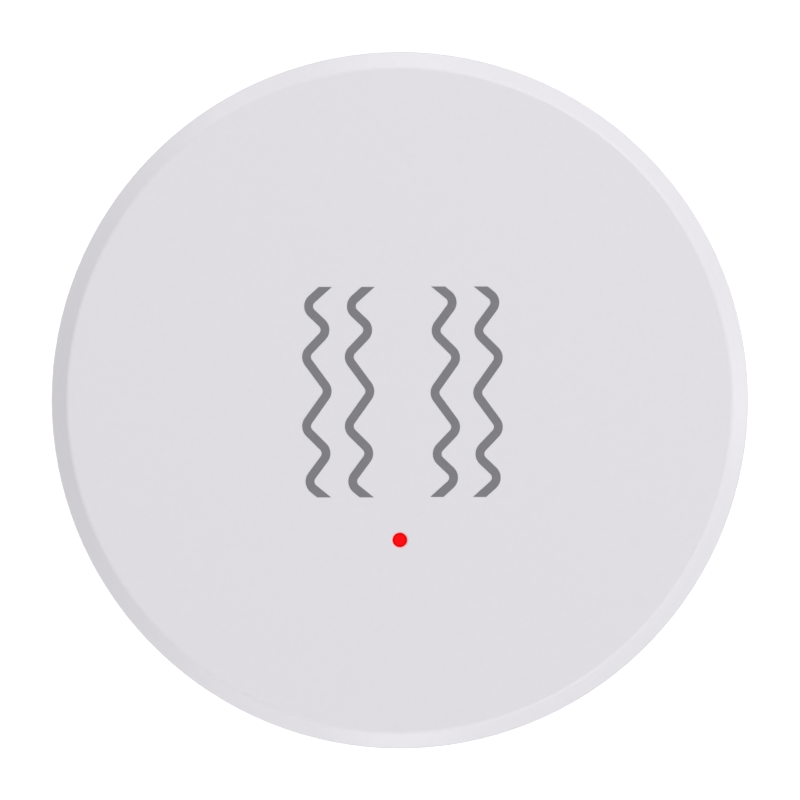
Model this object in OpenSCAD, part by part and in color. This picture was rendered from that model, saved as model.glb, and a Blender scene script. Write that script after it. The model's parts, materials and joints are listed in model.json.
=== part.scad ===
// Round vibration sensor tag: a bevelled two-piece case with a lamp in its face, a coin-slot
// battery door in its back, a flush reset key in its rim and a circuit board inside.
// The origin is the centre of the mounting face, and +Z points out of the front face.

/* [Case] */
// Outside diameter of the case
body_d = 50; // [46:0.5:60]
// Thickness of the side wall
side_wall = 1.6; // [1.2:0.1:2.2]
// Thickness of the front face
face_t = 1.8; // [1.6:0.1:3]
// Width of the front bevel, seen from the front
bevel_w = 1.2; // [0.6:0.05:1.6]
// Depth of the front bevel, along the axis
bevel_h = 1.2; // [0.6:0.05:1.6]
// Rounding of the bevel's two edges
bevel_r = 0.4; // [0.1:0.05:0.6]
// Rounding of the other moulded edges
edge_r = 0.2; // [0.05:0.05:0.4]
// Rounding where the face meets the wall, inside
inner_r = 0.6; // [0.1:0.1:1]

/* [Rear shell] */
// Height of the band that shows below the parting line
band_h = 2.4; // [2:0.1:4]
// Width of the parting line
split_gap = 0.25; // [0.1:0.05:0.5]
// Thickness of the rear plate
back_t = 1.8; // [1.4:0.1:2.4]
// Rounding of the rear edge
rear_r = 0.8; // [0.2:0.1:1.4]
// Height of the lip that enters the front shell
lip_h = 2.4; // [2:0.1:3]
// Thickness of the lip
lip_t = 1.2; // [0.8:0.1:1.6]
// Play between the lip and the side wall
case_fit = 0.1; // [0.05:0.05:0.2]
// How far a snap bead stands out of the lip
bead_h = 0.45; // [0.2:0.05:0.6]
// Height of a snap bead
bead_w = 0.7; // [0.4:0.1:1]
// Number of snap beads
bead_count = 4; // [3:1:6]
// Angle that each snap bead covers
bead_arc = 24; // [10:1:40]
// Thickness of the stiffening ribs
rib_t = 0.9; // [0.6:0.1:1.4]
// Number of ribs on the rear plate
rib_count = 6; // [3:1:9]

/* [Adhesive pad] */
// Thickness of the foam pad
pad_t = 0.8; // [0.5:0.1:1.5]
// How far the pad sits in its recess
pad_sink = 0.2; // [0.1:0.05:0.4]
// Share of the back's width that stays bare outside the pad
rim_share = 0.27; // [0.2:0.01:0.32]
// Share of the back's width that stays bare inside the pad, for the door's two marks
mark_share = 0.29; // [0.27:0.01:0.32]

/* [Coin cell] */
// Diameter of the cell
cell_d = 24.5; // [20:0.5:26]
// Height of the cell
cell_h = 5; // [3.2:0.1:6]
// Height of the cell's cap above its can
cap_h = 0.5; // [0.3:0.05:0.8]
// Rounding of the cap's edge
cap_r = 0.3; // [0.1:0.05:0.3]
// Rounding of the can's lower edge
can_r = 0.6; // [0.3:0.1:0.9]
// Width of the can's crimped rim outside the cap
crimp_w = 2; // [1.2:0.1:2.6]
// Rounding of the crimped rim
crimp_r = 0.9; // [0.5:0.1:1.1]
// Thickness of the plastic seal round the cap
seal_t = 0.25; // [0.15:0.05:0.35]
// Play between the cell and its bay
cell_gap = 0.35; // [0.2:0.05:0.6]
// Gap between the cell and the door
cell_lift = 0.2; // [0.1:0.05:0.5]

/* [Battery door] */
// Thickness of the door's flange
flange_t = 1.2; // [1:0.1:1.8]
// Width of the flange past the plug
flange_lap = 2; // [1.6:0.1:2.6]
// How far the door sits below the rear face
door_sink = 0.1; // [0:0.05:0.3]
// Play round the flange
flange_gap = 0.2; // [0.1:0.05:0.4]
// Thickness of the plug ring
plug_t = 1.2; // [1:0.1:1.6]
// Play between the turning and the fixed parts, across the axis
turn_gap = 0.25; // [0.15:0.05:0.4]
// Play between the turning and the fixed parts, along the axis
seat_gap = 0.1; // [0.05:0.05:0.2]
// Length of a bayonet tab
tab_l = 1.3; // [1:0.1:1.6]
// Thickness of a bayonet tab
tab_t = 1.1; // [0.8:0.1:1.6]
// Angle that a tab covers
tab_arc = 24; // [16:1:30]
// Angle from locked to open
open_turn = 30; // [28:1:36]
// Angular play between a tab and its slot or stop
tab_play = 1.5; // [1:0.25:2]
// Angle that a stop covers
stop_arc = 3; // [2:0.5:5]
// Thickness of the ledge that holds the tabs
ledge_t = 1.2; // [0.9:0.1:1.6]
// Thickness of the shelf above the tabs
shelf_t = 1; // [0.8:0.1:1.6]
// Thickness of the wall round the cell
well_t = 1.2; // [0.9:0.1:1.6]
// Length of the coin slot
slot_l = 15; // [10:0.5:18]
// Width of the coin slot
slot_w = 2.2; // [1.6:0.1:3]
// Depth of the coin slot
slot_depth = 1.1; // [0.8:0.1:1.5]
// Thickness of plastic round the coin slot
slot_wall = 0.9; // [0.7:0.1:1.4]
// Width of the bevel round the coin slot's mouth
slot_bevel = 0.25; // [0.1:0.05:0.4]
// Width of the engraved marks
mark_w = 1.4; // [0.8:0.1:1.8]
// Depth of the engraved marks
mark_depth = 0.2; // [0.1:0.05:0.3]

/* [Circuit board] */
// Thickness of the board
pcb_t = 1; // [0.8:0.1:1.6]
// Gap between the board and the side wall
pcb_gap = 0.8; // [0.5:0.1:1.2]
// Height left for parts between the board and the front face
part_room = 3.7; // [3.6:0.1:5]
// Height of the loaded spring contact under the cell
spring_h = 0.6; // [0.4:0.05:1]
// Distance from a fastening's centre to the board's edge
hole_edge = 3.2; // [3:0.1:4]
// Gap between the cell's wall and the board
well_gap = 0.4; // [0.2:0.1:0.8]

/* [Screws] */
// Diameter of the screws
screw_d = 1.7; // [1.4:0.1:2]
// Length of the screws
screw_l = 4; // [3:0.1:4.4]
// Diameter of the screw heads
head_d = 3.2; // [2.6:0.1:3.6]
// Height of the screw heads
head_h = 1.2; // [0.9:0.1:1.4]
// Rounding of the screw heads
head_r = 0.7; // [0.3:0.1:0.8]
// Length, width and depth of the cross in a screw head
cross_size = [1.9, 0.5, 0.65];
// Thickness of the boss round a screw
boss_wall = 1.3; // [1:0.1:1.6]
// Play between a fastening and its hole in the board
hole_play = 0.15; // [0.1:0.05:0.3]
// Play between a screw and its boss
thread_play = 0.02; // [0.01:0.01:0.05]
// Diameter of the locating peg
peg_d = 1.5; // [1.2:0.1:2]

/* [Lamp] */
// Distance from the case's axis to the lamp
lamp_offset = 10; // [8:0.25:12]
// Diameter of the light guide's tip
tip_d = 0.95; // [0.8:0.05:1.6]
// Width of the bevel round the tip, in the face
tip_bevel = 0.1; // [0.05:0.01:0.25]
// Play round the light guide
guide_play = 0.04; // [0.02:0.01:0.1]
// Length of the light guide's tip
tip_l = 1; // [0.6:0.1:1.2]
// Diameter of the light guide's body
guide_d = 2.4; // [2:0.1:3]
// Width of the light guide's collar
collar_w = 0.5; // [0.3:0.1:0.8]
// Height of the light guide's collar
collar_h = 0.5; // [0.3:0.1:0.8]
// Gap between the lamp and the light guide
lamp_gap = 0.3; // [0.15:0.05:0.5]
// Length, width and height of the lamp
lamp_size = [1.6, 0.8, 0.6];
// Length of the lamp's lens
lens_l = 1; // [0.8:0.1:1.4]
// Height of the base under the lamp's lens
lamp_base = 0.2; // [0.1:0.05:0.3]

/* [Reset key] */
// Diameter of the key
key_d = 2.6; // [2:0.1:3]
// Rounding of the key's outer edge
key_r = 0.3; // [0.1:0.05:0.4]
// Play round the key
key_play = 0.1; // [0.05:0.05:0.15]
// How far the key sits below the case's outside
key_sink = 0.15; // [0:0.05:0.3]
// Travel of the key
key_travel = 0.25; // [0.15:0.05:0.3]
// Width of the key's flange
key_flange = 0.8; // [0.6:0.1:1]
// Thickness of the key's flange
key_flange_t = 0.6; // [0.4:0.1:0.7]
// Thickness of the flat seat behind the side wall
key_seat = 0.35; // [0.3:0.05:0.5]
// Gap between the flange and its seat
key_seat_gap = 0.05; // [0.02:0.01:0.1]
// Diameter of the key's nose
nose_d = 1.5; // [1.2:0.1:1.6]
// Length of the key's nose
nose_l = 0.6; // [0.5:0.1:0.9]
// Gap between the nose and the switch
nose_gap = 0.02; // [0.01:0.01:0.05]

/* [Switch] */
// Width, depth and height of the switch
switch_size = [4.6, 3.2, 1.9];
// Height of the switch's stem above the board
stem_z = 1; // [0.9:0.05:1.2]
// Width and height of the stem
stem_size = [1.8, 0.9];
// How far the stem stands out of the switch
stem_out = 0.9; // [0.6:0.05:1.2]
// How far the stem reaches into the switch
stem_in = 0.7; // [0.5:0.05:1]
// Play round the stem
stem_play = 0.08; // [0.05:0.01:0.1]
// Thickness of the switch's metal cover
cover_t = 0.15; // [0.1:0.05:0.2]

/* [Radio module] */
// Width of the radio module
module_w = 15; // [13:0.5:16]
// Length of the radio module
module_l = 17; // [16:0.5:18]
// Thickness of the radio module's board
module_t = 0.8; // [0.6:0.1:1]
// Distance from the module to the main board's edge, along the axis of the module
module_edge = 2; // [1.8:0.1:3]
// Width, length and height of the metal shield
shield_size = [12.6, 11.2, 2];
// Distance from the shield to the module's inner end
shield_edge = 0.7; // [0.5:0.1:1]
// Thickness of the shield's sheet
shield_t = 0.2; // [0.15:0.05:0.3]
// Rounding of the shield's corners
shield_r = 0.7; // [0.3:0.1:1]
// Number of solder notches on each side of the module
notch_count = 7; // [5:1:7]
// Distance from the module's inner end to the first solder notch
notch_edge = 1.5; // [1:0.1:2]
// Distance between the solder notches
notch_step = 2; // [1.5:0.1:2.1]
// Diameter of a solder notch
notch_d = 0.8; // [0.5:0.1:1]

/* [Small parts] */
// Width, length and height of the vibration chip
chip_size = [2, 2, 0.9];
// Place of the vibration chip on the board
chip_at = [-7, -4];
// Diameter of the dot that marks a chip's first corner
pin_dot_d = 0.25; // [0.15:0.05:0.4]
// Width, length and height of the radio chip
soc_size = [5, 5, 0.85];
// Place of the radio chip, from the middle of the shield
soc_at = [-1.6, 0];
// Width, length and height of the crystal
crystal_size = [2.5, 2, 0.55];
// Place of the crystal, from the middle of the shield
crystal_at = [3.9, 2.8];
// Height of the crystal's metal lid
lid_t = 0.2; // [0.1:0.05:0.3]
// Width of the crystal's base outside its lid
lid_edge = 0.2; // [0.1:0.05:0.3]
// Length, width and height of a chip capacitor
cap_size = [1.6, 0.8, 0.8];
// Length of a chip capacitor's metal ends
cap_end = 0.35; // [0.2:0.05:0.5]
// Length, width and height of the bulk capacitor
bulk_size = [3.5, 2.8, 1.9];
// Place of the bulk capacitor on the board
bulk_at = [8, -4];
// How far the bulk capacitor's moulded ends lean in, above and below its leads
bulk_draft = 0.15; // [0.05:0.05:0.3]
// Width, height and thickness of the bulk capacitor's folded leads
lead_size = [2.2, 1.2, 0.15];

/* [Battery contacts] */
// Thickness of the contacts
contact_t = 0.2; // [0.15:0.05:0.3]
// Width of the contacts
contact_w = 4; // [3:0.5:5]
// Length of a contact's soldered foot
foot_l = 2.4; // [1.6:0.1:2.8]
// Distance from the door's plug ring to the positive contact's foot
foot_gap = 2.2; // [1.6:0.1:2.6]
// Run of the bend between the foot and the leg
knee_l = 0.4; // [0.2:0.1:0.6]
// How far the leg's end flares away from the cell
flare_l = 0.7; // [0.4:0.1:0.9]
// Half the length of the arched spring under the board
spring_half = 4.6; // [4:0.1:6]

/* [Hidden] */
$fn = 64;

// Overlap of joined shapes and overshoot of cuts
weld = 0.3;
over = 0.05;
// Steps in a rounded corner
corner_steps = 6;

// Radii of the case
body_r = body_d / 2;
wall_r = body_r - side_wall;
lip_r = wall_r - case_fit;
lip_in_r = lip_r - lip_t;
pcb_r = wall_r - pcb_gap;

// Radii of the battery door and its seat
cell_r = cell_d / 2;
bay_r = cell_r + cell_gap;
plug_r = bay_r + plug_t;
ledge_r = plug_r + turn_gap;
tab_r = plug_r + tab_l;
channel_r = tab_r + turn_gap;
flange_r = plug_r + flange_lap;
recess_r = flange_r + flange_gap;
channel_out_r = max(channel_r, recess_r) + well_t;
back_room = body_r - recess_r;
pad_in_r = recess_r + back_room * mark_share;
pad_out_r = body_r - back_room * rim_share;
mark_r = (recess_r + pad_in_r) / 2;

// Heights, from the mounting face to the front
z_back = pad_t - pad_sink;
z_plate = z_back + back_t;
z_split = z_back + band_h;
z_lip = z_split + lip_h;
z_bead = z_split + split_gap + (lip_h - split_gap) / 2;
z_door = z_back + door_sink;
z_flange = z_door + flange_t;
z_ledge = z_flange + seat_gap;
z_tab = z_ledge + ledge_t + seat_gap;
z_tab_top = z_tab + tab_t;
z_shelf = z_tab_top + seat_gap;
z_slot_boss = z_door + slot_depth + slot_wall;
z_cell = max(z_flange, z_slot_boss) + cell_lift;
z_cell_top = z_cell + cell_h;
z_pcb = z_cell_top + spring_h;
z_board = z_pcb + pcb_t;
z_inside = z_board + part_room;
z_front = z_inside + face_t;
z_well = z_pcb - well_gap;

// Angles of the bayonet: the tabs when locked, and the way that the door opens
tab_angles = [90, 210, 330];
pointer_angle = 90;

// Fastenings of the board
fastening_r = pcb_r - hole_edge;
screw_angles = [35, 145, 235];
peg_angle = 305;
boss_r = screw_d / 2 + boss_wall;

// Lamp and light guide
lamp_at = [0, -lamp_offset];
guide_r = guide_d / 2;
guide_boss_r = guide_r + guide_play + boss_wall;
z_guide = z_board + lamp_size[2] + lamp_gap;
z_collar = z_guide + collar_h;
z_shoulder = z_front - tip_l;

// Reset key and its switch, as distances from the case's axis along -Y
key_z = z_board + stem_z;
key_out = body_r - key_sink;
seat_out = wall_r - key_seat;
flange_out = seat_out - key_seat_gap;
flange_in = flange_out - key_flange_t;
nose_in = flange_in - nose_l;
stem_tip = nose_in - nose_gap;
switch_front = stem_tip - stem_out;
notch_in = flange_in - key_travel - 2 * key_play - weld;
notch_w = key_d + 2 * key_flange + 4 * weld;

// Radio module: its inner end, and the middle of the shield
module_y = pcb_r - module_edge - module_l;
z_module = z_board + module_t;
shield_y = module_y + shield_edge + shield_size[1] / 2;

// Battery contacts: the way that the positive one faces, and how far down its leg bends, touches
// the cell, leaves it and ends, as shares of the height from the board to the shelf
contact_angle = 0;
foot_r = plug_r + foot_gap;
leg_shares = [0.15, 0.62, 0.76, 0.88];
arch_steps = 12;

// Chip capacitors: x, y and turn of each
capacitors = [
    [-3.2, -1.2, 0], [3.2, -1.2, 0], [-9.6, 1.6, 90], [9.6, 1.6, 90],
    [-3.6, -8.2, 90], [3.6, -8.2, 90], [-11.4, -2.4, 90], [12, -8, 90]
];

// Points and outlines

function unit(v) = v / norm(v);
function place(c) = [c[0], c[1]];

// An arc of radius r in the corner at b, between the points a and c
function corner(a, b, c, r) =
    is_undef(r) || r == 0 ? [b] :
    let (
        u = unit(a - b),
        v = unit(c - b),
        half = acos(u * v) / 2,
        centre = b + unit(u + v) * r / sin(half),
        from = b + u * r / tan(half) - centre,
        to = b + v * r / tan(half) - centre,
        sweep = 180 - 2 * half
    )
    [for (i = [0 : corner_steps])
        let (t = i / corner_steps * sweep)
        centre + (from * sin(sweep - t) + to * sin(t)) / sin(sweep)];

// The closed outline through corners given as [x, y] or [x, y, radius]
function outline(corners) =
    let (n = len(corners))
    [for (i = [0 : n - 1])
        each corner(place(corners[(i + n - 1) % n]), place(corners[i]),
                    place(corners[(i + 1) % n]), corners[i][2])];

// Normal of a line of points at one of them, long enough to keep a sheet's thickness in a bend
function sheet_normal(points, i) =
    let (
        last = len(points) - 1,
        before = unit(points[max(i, 1)] - points[max(i, 1) - 1]),
        after = unit(points[min(i, last - 1) + 1] - points[min(i, last - 1)]),
        mean = unit(before + after)
    )
    [-mean[1], mean[0]] / (mean * after);

// Outline of a bent sheet of thickness t whose middle follows the points
function sheet(points, t) = concat(
    [for (i = [0 : len(points) - 1]) points[i] + sheet_normal(points, i) * t / 2],
    [for (i = [len(points) - 1 : -1 : 0]) points[i] - sheet_normal(points, i) * t / 2]
);

// General shapes

module turned(corners) {
    rotate_extrude() polygon(outline(corners));
}

module sector(inner, outer, low, high, middle, arc) {
    rotate([0, 0, middle - arc / 2])
        rotate_extrude(angle = arc)
            translate([inner, low]) square([outer - inner, high - low]);
}

module block(size, at, z) {
    translate([at[0] - size[0] / 2, at[1] - size[1] / 2, z]) cube(size);
}

module rounded_block(size, r, at, z) {
    x = size[0] / 2;
    y = size[1] / 2;
    translate([at[0], at[1], z])
        linear_extrude(size[2])
            polygon(outline([[-x, -y, r], [x, -y, r], [x, y, r], [-x, y, r]]));
}

module post(r, at, low, high) {
    translate([at[0], at[1], low]) cylinder(r = r, h = high - low);
}

module at_fastening(angle) {
    rotate([0, 0, angle]) translate([fastening_r, 0, 0]) children();
}

// A round bar through the rim at the key's height, between two distances from the axis
module key_bar(r, inner, outer) {
    translate([0, -inner, key_z]) rotate([90, 0, 0]) cylinder(r = r, h = outer - inner);
}

// Case

module front_shell() {
    color("#e6e5ea")
    difference() {
        union() {
            front_wall();
            for (angle = screw_angles) at_fastening(angle) screw_boss();
            at_fastening(peg_angle) locating_peg();
            post(guide_boss_r, lamp_at, z_collar, z_inside + weld);
            key_bar(key_d / 2 + key_flange + weld, seat_out, wall_r + weld);
        }
        for (angle = screw_angles)
            at_fastening(angle)
                post(screw_d / 2 + thread_play, [0, 0], z_board - over, z_pcb + screw_l + weld);
        guide_hole();
        key_bar(key_d / 2 + key_play, seat_out - over, body_r + over);
        snap_pockets();
    }
}

module front_wall() {
    turned([
        [0, z_front],
        [body_r - bevel_w, z_front, bevel_r],
        [body_r, z_front - bevel_h, bevel_r],
        [body_r, z_split + split_gap, edge_r],
        [wall_r, z_split + split_gap],
        [wall_r, z_inside, inner_r],
        [0, z_inside]
    ]);
}

module screw_boss() {
    post(boss_r, [0, 0], z_board, z_inside + weld);
    rib_l = wall_r + weld - fastening_r;
    block([rib_l, rib_t, part_room / 2 + weld], [rib_l / 2, 0], z_inside - part_room / 2);
}

module locating_peg() {
    post(peg_d / 2 + boss_wall, [0, 0], z_board, z_inside + weld);
    post(peg_d / 2, [0, 0], z_pcb - pcb_t / 4, z_board + weld);
}

module guide_hole() {
    post(guide_r + guide_play, lamp_at, z_collar - over, z_shoulder + guide_play);
    post(tip_d / 2 + guide_play, lamp_at, z_shoulder, z_front + over);
    translate([lamp_at[0], lamp_at[1], z_front - tip_bevel])
        cylinder(r1 = tip_d / 2 + guide_play, r2 = tip_d / 2 + guide_play + tip_bevel + over,
                 h = tip_bevel + over);
}

module snap_pockets() {
    for (i = [0 : bead_count - 1])
        sector(wall_r - over, wall_r + bead_h, z_bead - bead_w / 2 - case_fit,
               z_bead + bead_w / 2 + case_fit, (i + 0.5) * 360 / bead_count, bead_arc + tab_play);
}

module rear_shell() {
    color("#e2e1e6")
    difference() {
        union() {
            rear_wall();
            for (i = [0 : bead_count - 1])
                rotate([0, 0, (i + 0.5) * 360 / bead_count - bead_arc / 2])
                    rotate_extrude(angle = bead_arc)
                        polygon(bead_section());
            for (i = [0 : rib_count - 1]) rotate([0, 0, (i + 0.5) * 360 / rib_count]) rear_rib();
            for (angle = tab_angles) bayonet_stops(angle);
        }
        for (angle = tab_angles)
            sector(ledge_r - turn_gap, channel_r + turn_gap / 2, z_ledge - over, z_ledge + ledge_t + over,
                   angle - open_turn, tab_arc + 2 * tab_play);
        contact_window();
        rear_marks();
    }
}

module rear_wall() {
    turned([
        [recess_r, z_back, edge_r],
        [pad_in_r, z_back],
        [pad_in_r, z_back + pad_sink],
        [pad_out_r, z_back + pad_sink],
        [pad_out_r, z_back],
        [body_r, z_back, rear_r],
        [body_r, z_split, edge_r],
        [lip_r, z_split],
        [lip_r, z_lip, edge_r],
        [lip_in_r, z_lip, edge_r],
        [lip_in_r, z_plate],
        [channel_out_r, z_plate],
        [channel_out_r, z_shelf + shelf_t, edge_r],
        [bay_r + well_t, z_shelf + shelf_t],
        [bay_r + well_t, z_well],
        [bay_r, z_well],
        [bay_r, z_shelf],
        [channel_r, z_shelf],
        [channel_r, z_ledge + ledge_t],
        [ledge_r, z_ledge + ledge_t],
        [ledge_r, z_ledge],
        [recess_r, z_ledge]
    ]);
}

// Section of a snap bead, which rises from inside the lip to a narrow flat
function bead_section() = [
    [lip_r - lip_t / 4, z_bead - bead_w / 2],
    [lip_r + bead_h - case_fit, z_bead - bead_w / 6],
    [lip_r + bead_h - case_fit, z_bead + bead_w / 6],
    [lip_r - lip_t / 4, z_bead + bead_w / 2]
];

module rear_rib() {
    inner = channel_out_r - weld;
    rib_l = lip_in_r + weld - inner;
    block([rib_l, rib_t, z_split - z_plate + lip_h / 3 + weld], [inner + rib_l / 2, 0], z_plate - weld);
}

// The two ends of one tab's way round: locked, and turned to its slot
module bayonet_stops(angle) {
    side = tab_arc / 2 + tab_play + stop_arc / 2;
    for (middle = [angle + side, angle - open_turn - side])
        sector(ledge_r + turn_gap / 2, channel_r + well_t / 2, z_ledge + ledge_t - weld, z_shelf + weld,
               middle, stop_arc);
}

module contact_window() {
    width = contact_w + 4 * cell_gap;
    rotate([0, 0, contact_angle])
        translate([bay_r - turn_gap, -width / 2, z_shelf + shelf_t])
            cube([well_t + 2 * turn_gap, width, z_well - z_shelf]);
}

// A dot beside the pointer of the locked door, and a ring where it points when the door is open
module rear_marks() {
    rotate([0, 0, pointer_angle]) translate([mark_r, 0, z_back - over])
        cylinder(d = mark_w, h = mark_depth + over);
    rotate([0, 0, pointer_angle - open_turn]) translate([mark_r, 0, z_back - over])
        difference() {
            cylinder(d = mark_w, h = mark_depth + over);
            cylinder(d = mark_w / 2, h = mark_depth + over);
        }
}

module battery_door() {
    color("#dfdee3")
    difference() {
        union() {
            turned([
                [0, z_door],
                [flange_r, z_door, edge_r],
                [flange_r, z_flange],
                [plug_r, z_flange],
                [plug_r, z_tab_top, edge_r],
                [bay_r, z_tab_top, edge_r],
                [bay_r, z_flange],
                [0, z_flange]
            ]);
            for (angle = tab_angles)
                sector(plug_r - plug_t / 2, tab_r, z_tab, z_tab_top, angle, tab_arc);
            coin_slot(slot_wall, z_flange - weld, z_slot_boss);
        }
        coin_slot(0, z_door - over, z_door + slot_depth);
        slot_mouth();
        rotate([0, 0, pointer_angle]) translate([flange_r - 2 * mark_w, 0, z_door - over])
            linear_extrude(mark_depth + over)
                polygon([[0, -mark_w / 2], [mark_w, 0], [0, mark_w / 2]]);
    }
}

// A slot with round ends, grown on all sides by a margin
module coin_slot(margin, low, high) {
    r = slot_w / 2 + margin;
    reach = (slot_l - slot_w) / 2;
    for (side = [-1, 1]) post(r, [side * reach, 0], low, high);
    block([2 * reach, 2 * r, high - low], [0, 0], low);
}

// The bevel that leads a coin into the slot
module slot_mouth() {
    r = slot_w / 2;
    reach = (slot_l - slot_w) / 2;
    low = z_door - over;
    high = z_door + slot_bevel + over;
    wide = r + slot_bevel + over;
    for (side = [-1, 1])
        translate([side * reach, 0, low]) cylinder(r1 = wide, r2 = r - over, h = high - low);
    translate([-reach, 0, 0])
        rotate([90, 0, 90])
            linear_extrude(2 * reach)
                polygon([[-wide, low], [wide, low], [r - over, high], [over - r, high]]);
}

module adhesive_pad() {
    color("#4a4c50")
    difference() {
        cylinder(r = pad_out_r - pad_sink, h = pad_t);
        translate([0, 0, -over]) cylinder(r = pad_in_r + pad_sink, h = pad_t + 2 * over);
    }
}

module light_guide() {
    color("#ff2020")
    union() {
        post(guide_r + collar_w, lamp_at, z_guide, z_collar);
        post(guide_r, lamp_at, z_guide, z_shoulder);
        post(tip_d / 2, lamp_at, z_guide, z_front - tip_bevel / 2);
    }
}

module reset_key() {
    color("#dcdbe0")
    union() {
        intersection() {
            key_crown();
            cylinder(r = key_out, h = z_front, $fn = 240);
        }
        key_bar(key_d / 2 + key_flange, flange_in, flange_out);
        key_bar(nose_d / 2, nose_in, flange_in + over);
    }
}

// The end of the key that a finger meets, before it is cut to the curve of the rim
module key_crown() {
    translate([0, 0, key_z])
        rotate([90, 0, 0])
            turned([
                [0, flange_in],
                [key_d / 2, flange_in],
                [key_d / 2, key_out + over, key_r],
                [0, key_out + over]
            ]);
}

// Circuit board

module main_pcb() {
    color("#1d5a38")
    difference() {
        post(pcb_r, [0, 0], z_pcb, z_board);
        for (angle = screw_angles)
            at_fastening(angle) post(screw_d / 2 + hole_play, [0, 0], z_pcb - over, z_board + over);
        at_fastening(peg_angle) post(peg_d / 2 + hole_play, [0, 0], z_pcb - over, z_board + over);
        block([notch_w, 2 * (pcb_r - notch_in), pcb_t + 2 * over], [0, -pcb_r], z_pcb - over);
    }
}

module pcb_screws() {
    color("#b9bbbd")
    for (angle = screw_angles) at_fastening(angle) {
        difference() {
            union() {
                turned_head();
                post(screw_d / 2, [0, 0], z_pcb - head_h / 2, z_pcb + screw_l);
            }
            for (turn = [0, 90])
                rotate([0, 0, turn])
                    block(cross_size + [0, 0, over], [0, 0], z_pcb - head_h - over);
        }
    }
}

module turned_head() {
    turned([
        [0, z_pcb - head_h],
        [head_d / 2, z_pcb - head_h, head_r],
        [head_d / 2, z_pcb],
        [0, z_pcb]
    ]);
}

// Radio module

module module_board() {
    color("#20242c")
    difference() {
        block([module_w, module_l, module_t], [0, module_y + module_l / 2], z_board);
        for (side = [-1, 1], i = [0 : notch_count - 1])
            post(notch_d / 2, [side * module_w / 2, module_y + notch_edge + notch_step * i],
                 z_board - over, z_module + over);
    }
}

module module_shield() {
    color("#c4c5c7")
    difference() {
        rounded_block(shield_size, shield_r, [0, shield_y], z_module);
        rounded_block(shield_size - shield_t * [2, 2, 1] + [0, 0, over], shield_r - shield_t / 2,
                      [0, shield_y], z_module - over);
    }
}

module radio_chip() {
    color("#232427")
    dotted_chip(soc_size, soc_at + [0, shield_y], z_module);
}

// A moulded chip with a dot sunk in its first corner
module dotted_chip(size, at, z) {
    difference() {
        block(size, at, z);
        post(pin_dot_d / 2, at + [-size[0], size[1]] / 3, z + size[2] - over, z + size[2] + over);
    }
}

// A base with a smaller metal lid
module crystal() {
    at = crystal_at + [0, shield_y];
    color("#c9b07a")
    union() {
        block(crystal_size - [0, 0, lid_t], at, z_module);
        rounded_block(crystal_size - 2 * lid_edge * [1, 1, 0], lid_edge, at, z_module);
    }
}

// Sensor, lamp and switch

module vibration_chip() {
    color("#26272a")
    dotted_chip(chip_size, chip_at, z_board);
}

module status_lamp() {
    color("#f4e9c0")
    union() {
        block([lamp_size[0], lamp_size[1], lamp_base], lamp_at, z_board);
        block([lens_l, lamp_size[1], lamp_size[2]], lamp_at, z_board);
    }
}

module switch_base() {
    color("#2a2b2e")
    difference() {
        block([switch_size[0] - 2 * cover_t, switch_size[1], switch_size[2] - cover_t],
              [0, switch_size[1] / 2 - switch_front], z_board);
        stem_bar(stem_play, stem_in + key_travel + stem_play, over);
    }
}

// The stem's own bar, grown by a margin, from a depth inside the switch to a reach in front of it
module stem_bar(margin, depth, reach) {
    width = stem_size[0] + 2 * margin;
    height = stem_size[1] + 2 * margin;
    translate([-width / 2, -switch_front - reach, key_z - height / 2]) cube([width, depth + reach, height]);
}

module switch_cover() {
    color("#c8c9cb")
    difference() {
        block(switch_size, [0, switch_size[1] / 2 - switch_front], z_board);
        translate([0, 0, -cover_t])
            block([switch_size[0] - 2 * cover_t, switch_size[1] + 2 * over, switch_size[2]],
                  [0, switch_size[1] / 2 - switch_front], z_board);
    }
}

module switch_stem() {
    color("#e9e4d6")
    stem_bar(0, stem_in, stem_out);
}

// Small parts

module at_capacitor(c) {
    translate([c[0], c[1], 0]) rotate([0, 0, c[2]]) children();
}

module chip_capacitors() {
    color("#b08a5c")
    for (c = capacitors)
        at_capacitor(c) block([cap_size[0] - 2 * cap_end, cap_size[1], cap_size[2]], [0, 0], z_board);
}

module capacitor_ends() {
    color("#cfd0d2")
    for (c = capacitors, side = [-1, 1])
        at_capacitor(c)
            block([cap_end, cap_size[1], cap_size[2]], [side * (cap_size[0] - cap_end) / 2, 0], z_board);
}

// The moulded body is longest where the leads come out
module bulk_capacitor() {
    x = bulk_size[0] / 2;
    end = [
        [x - bulk_draft, 0],
        [x, lead_size[1] - lead_size[2]],
        [x, lead_size[1]],
        [x - bulk_draft, bulk_size[2]]
    ];
    color("#d99a2b")
    translate([bulk_at[0], bulk_at[1] + bulk_size[1] / 2, z_board])
        rotate([90, 0, 0])
            linear_extrude(bulk_size[1])
                polygon([each end, for (i = [3 : -1 : 0]) [-end[i][0], end[i][1]]]);
}

// The leads come out of the two ends and fold down to the board
module bulk_leads() {
    color("#cfd0d2")
    for (side = [-1, 1])
        block([lead_size[2], lead_size[0], lead_size[1]],
              [bulk_at[0] + side * (bulk_size[0] + lead_size[2]) / 2, bulk_at[1]], z_board);
}

// Battery contacts and coin cell

module positive_contact() {
    z_foot = z_pcb - contact_t / 2;
    drop = z_pcb - z_shelf - shelf_t;
    touch = cell_r + nose_gap + contact_t / 2;
    leg = [foot_r - knee_l, touch, touch, touch + flare_l];
    color("#d0cbb8")
    rotate([0, 0, contact_angle])
        rotate([90, 0, 0])
            translate([0, 0, -contact_w / 2])
                linear_extrude(contact_w)
                    polygon(sheet([
                        [foot_r + foot_l, z_foot], [foot_r, z_foot],
                        for (i = [0 : 3]) [leg[i], z_foot - leg_shares[i] * drop]
                    ], contact_t));
}

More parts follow.
